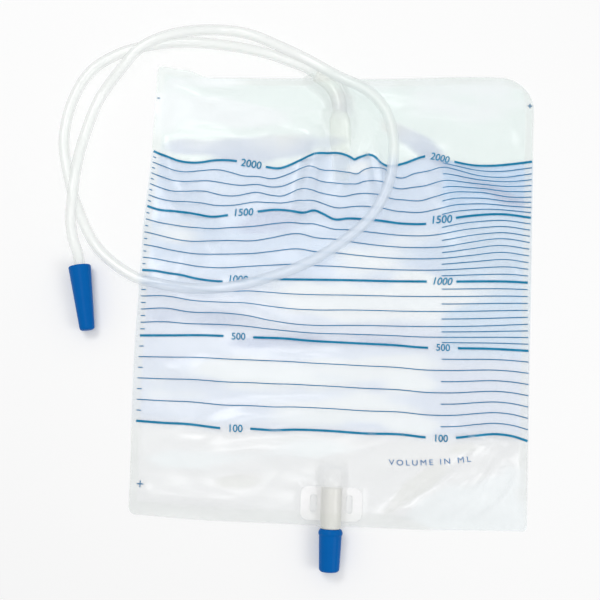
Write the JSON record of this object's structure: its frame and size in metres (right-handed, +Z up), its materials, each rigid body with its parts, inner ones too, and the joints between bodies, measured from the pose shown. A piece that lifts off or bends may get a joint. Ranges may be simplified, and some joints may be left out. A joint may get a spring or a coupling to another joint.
{
  "type": "urine drainage bag",
  "caption": "Flat drainage bag of welded film with a blue volume scale, a long looped inlet tube with a capped stepped connector, and a capped bottom outlet.",
  "frame": {"origin": "centre of the bag's underside, which lies on Z = 0", "axes": "+Y from the outlet in the bottom seam to the inlet in the top seam, +X across the printed face to its right, +Z up from the surface it lies on"},
  "size_m": [0.3217, 0.3618, 0.0191],
  "materials": {
    "back_film": "soft white translucent film",
    "front_film": "clear glossy film with a blue printed scale",
    "soft_port": "soft translucent moulding",
    "valve": "thin translucent sleeve",
    "clear_tube": "clear soft tubing",
    "connector": "clear rigid moulding",
    "blue_cap": "semi-matte blue moulding"
  },
  "bodies": {
    "bag": {"back_film": "back_film", "front_film": "front_film", "outlet_port": "soft_port", "inlet_port": "soft_port", "non_return_valve": "valve", "inlet_tube": "clear_tube", "catheter_connector": "connector"},
    "outlet_cap": {"outlet_cap": "blue_cap"},
    "connector_cap": {"connector_cap": "blue_cap"}
  },
  "joints": [
    {"name": "outlet_cap_pull", "type": "slide", "parent": "bag", "child": "outlet_cap", "axis": [0, -1, 0], "range_m": [0, 0.035]},
    {"name": "connector_cap_pull", "type": "slide", "parent": "bag", "child": "connector_cap", "axis": [0.1857, -0.9826, 0], "range_m": [0, 0.045]}
  ]
}
